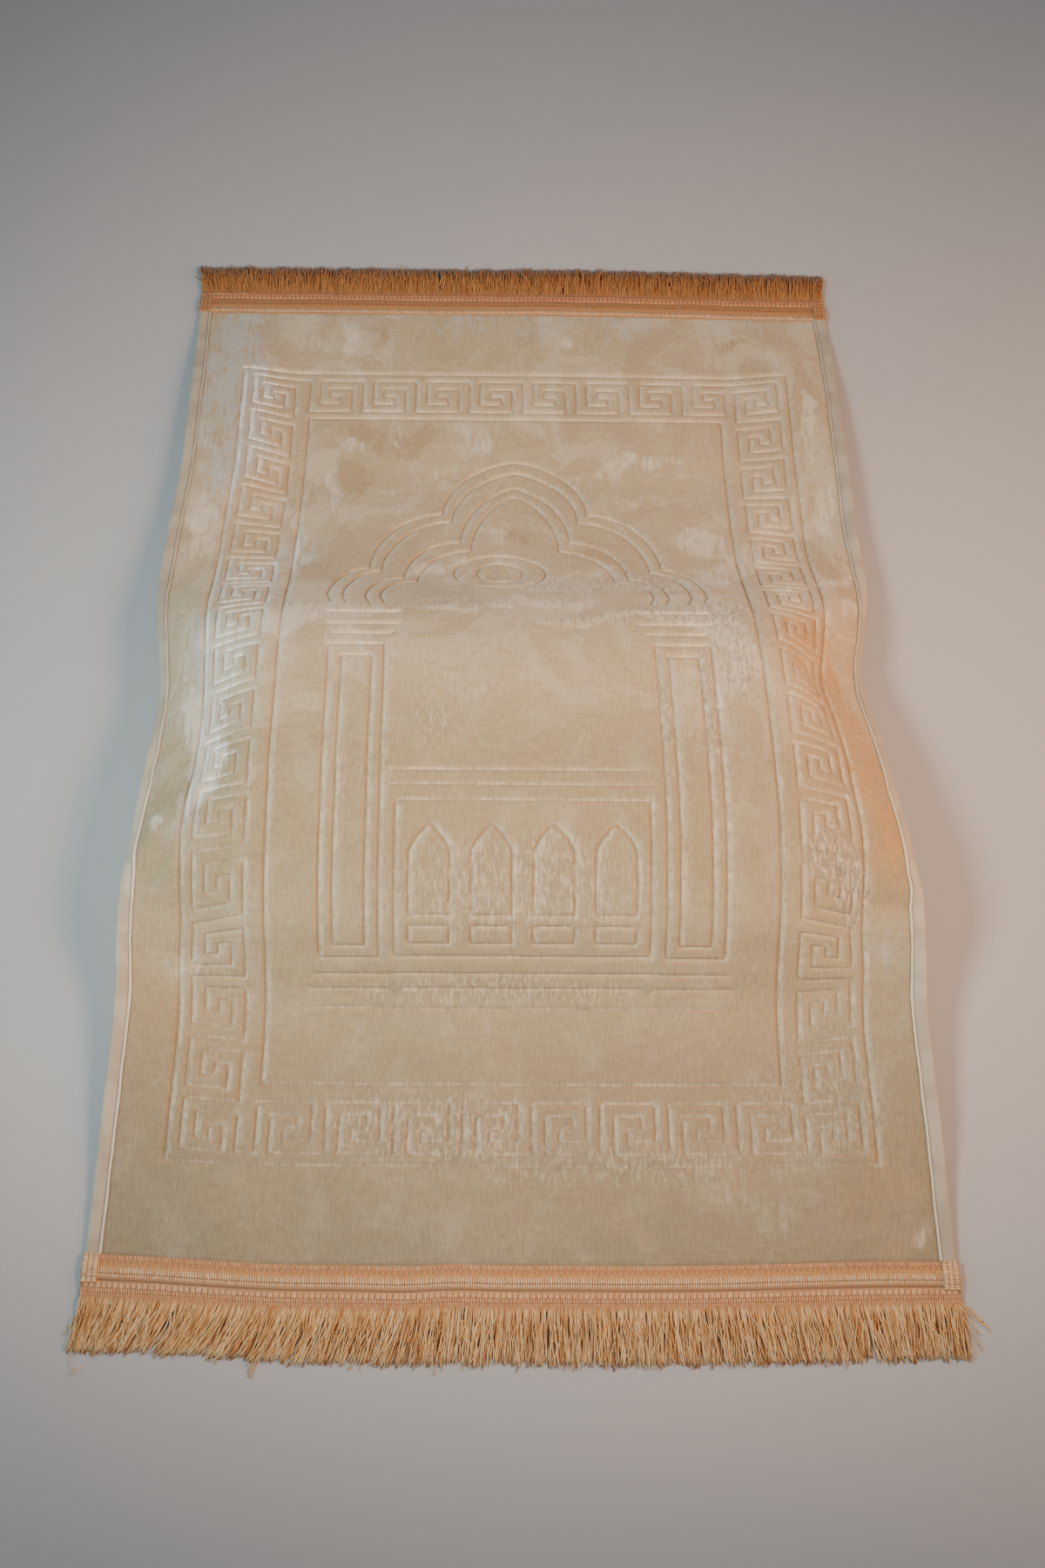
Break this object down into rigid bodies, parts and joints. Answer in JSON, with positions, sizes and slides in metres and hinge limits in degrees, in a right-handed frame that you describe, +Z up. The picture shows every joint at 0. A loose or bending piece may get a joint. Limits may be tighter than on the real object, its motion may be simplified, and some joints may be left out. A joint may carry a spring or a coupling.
{
  "type": "prayer rug",
  "caption": "Prayer rug of embossed velour with bound sides and a woven tape and cut fringe at each end, lying with one broad fold across it.",
  "frame": {"origin": "on the floor, under the middle of the rug's bounding box", "axes": "+Y along the rug from its front end to its back end, where the arch points; +X across it to the right; +Z up"},
  "size_m": [0.7278, 1.2772, 0.124],
  "materials": {
    "velour": "soft pile",
    "binding": "smooth woven",
    "tape": "satin ribbed",
    "yarn": "satin yarn"
  },
  "bodies": {
    "root": {"velour_panel": "velour", "side_binding_left": "binding", "side_binding_right": "binding", "end_tape_front": "tape", "end_tape_back": "tape", "fringe_front": "yarn", "fringe_back": "yarn"}
  },
  "joints": []
}
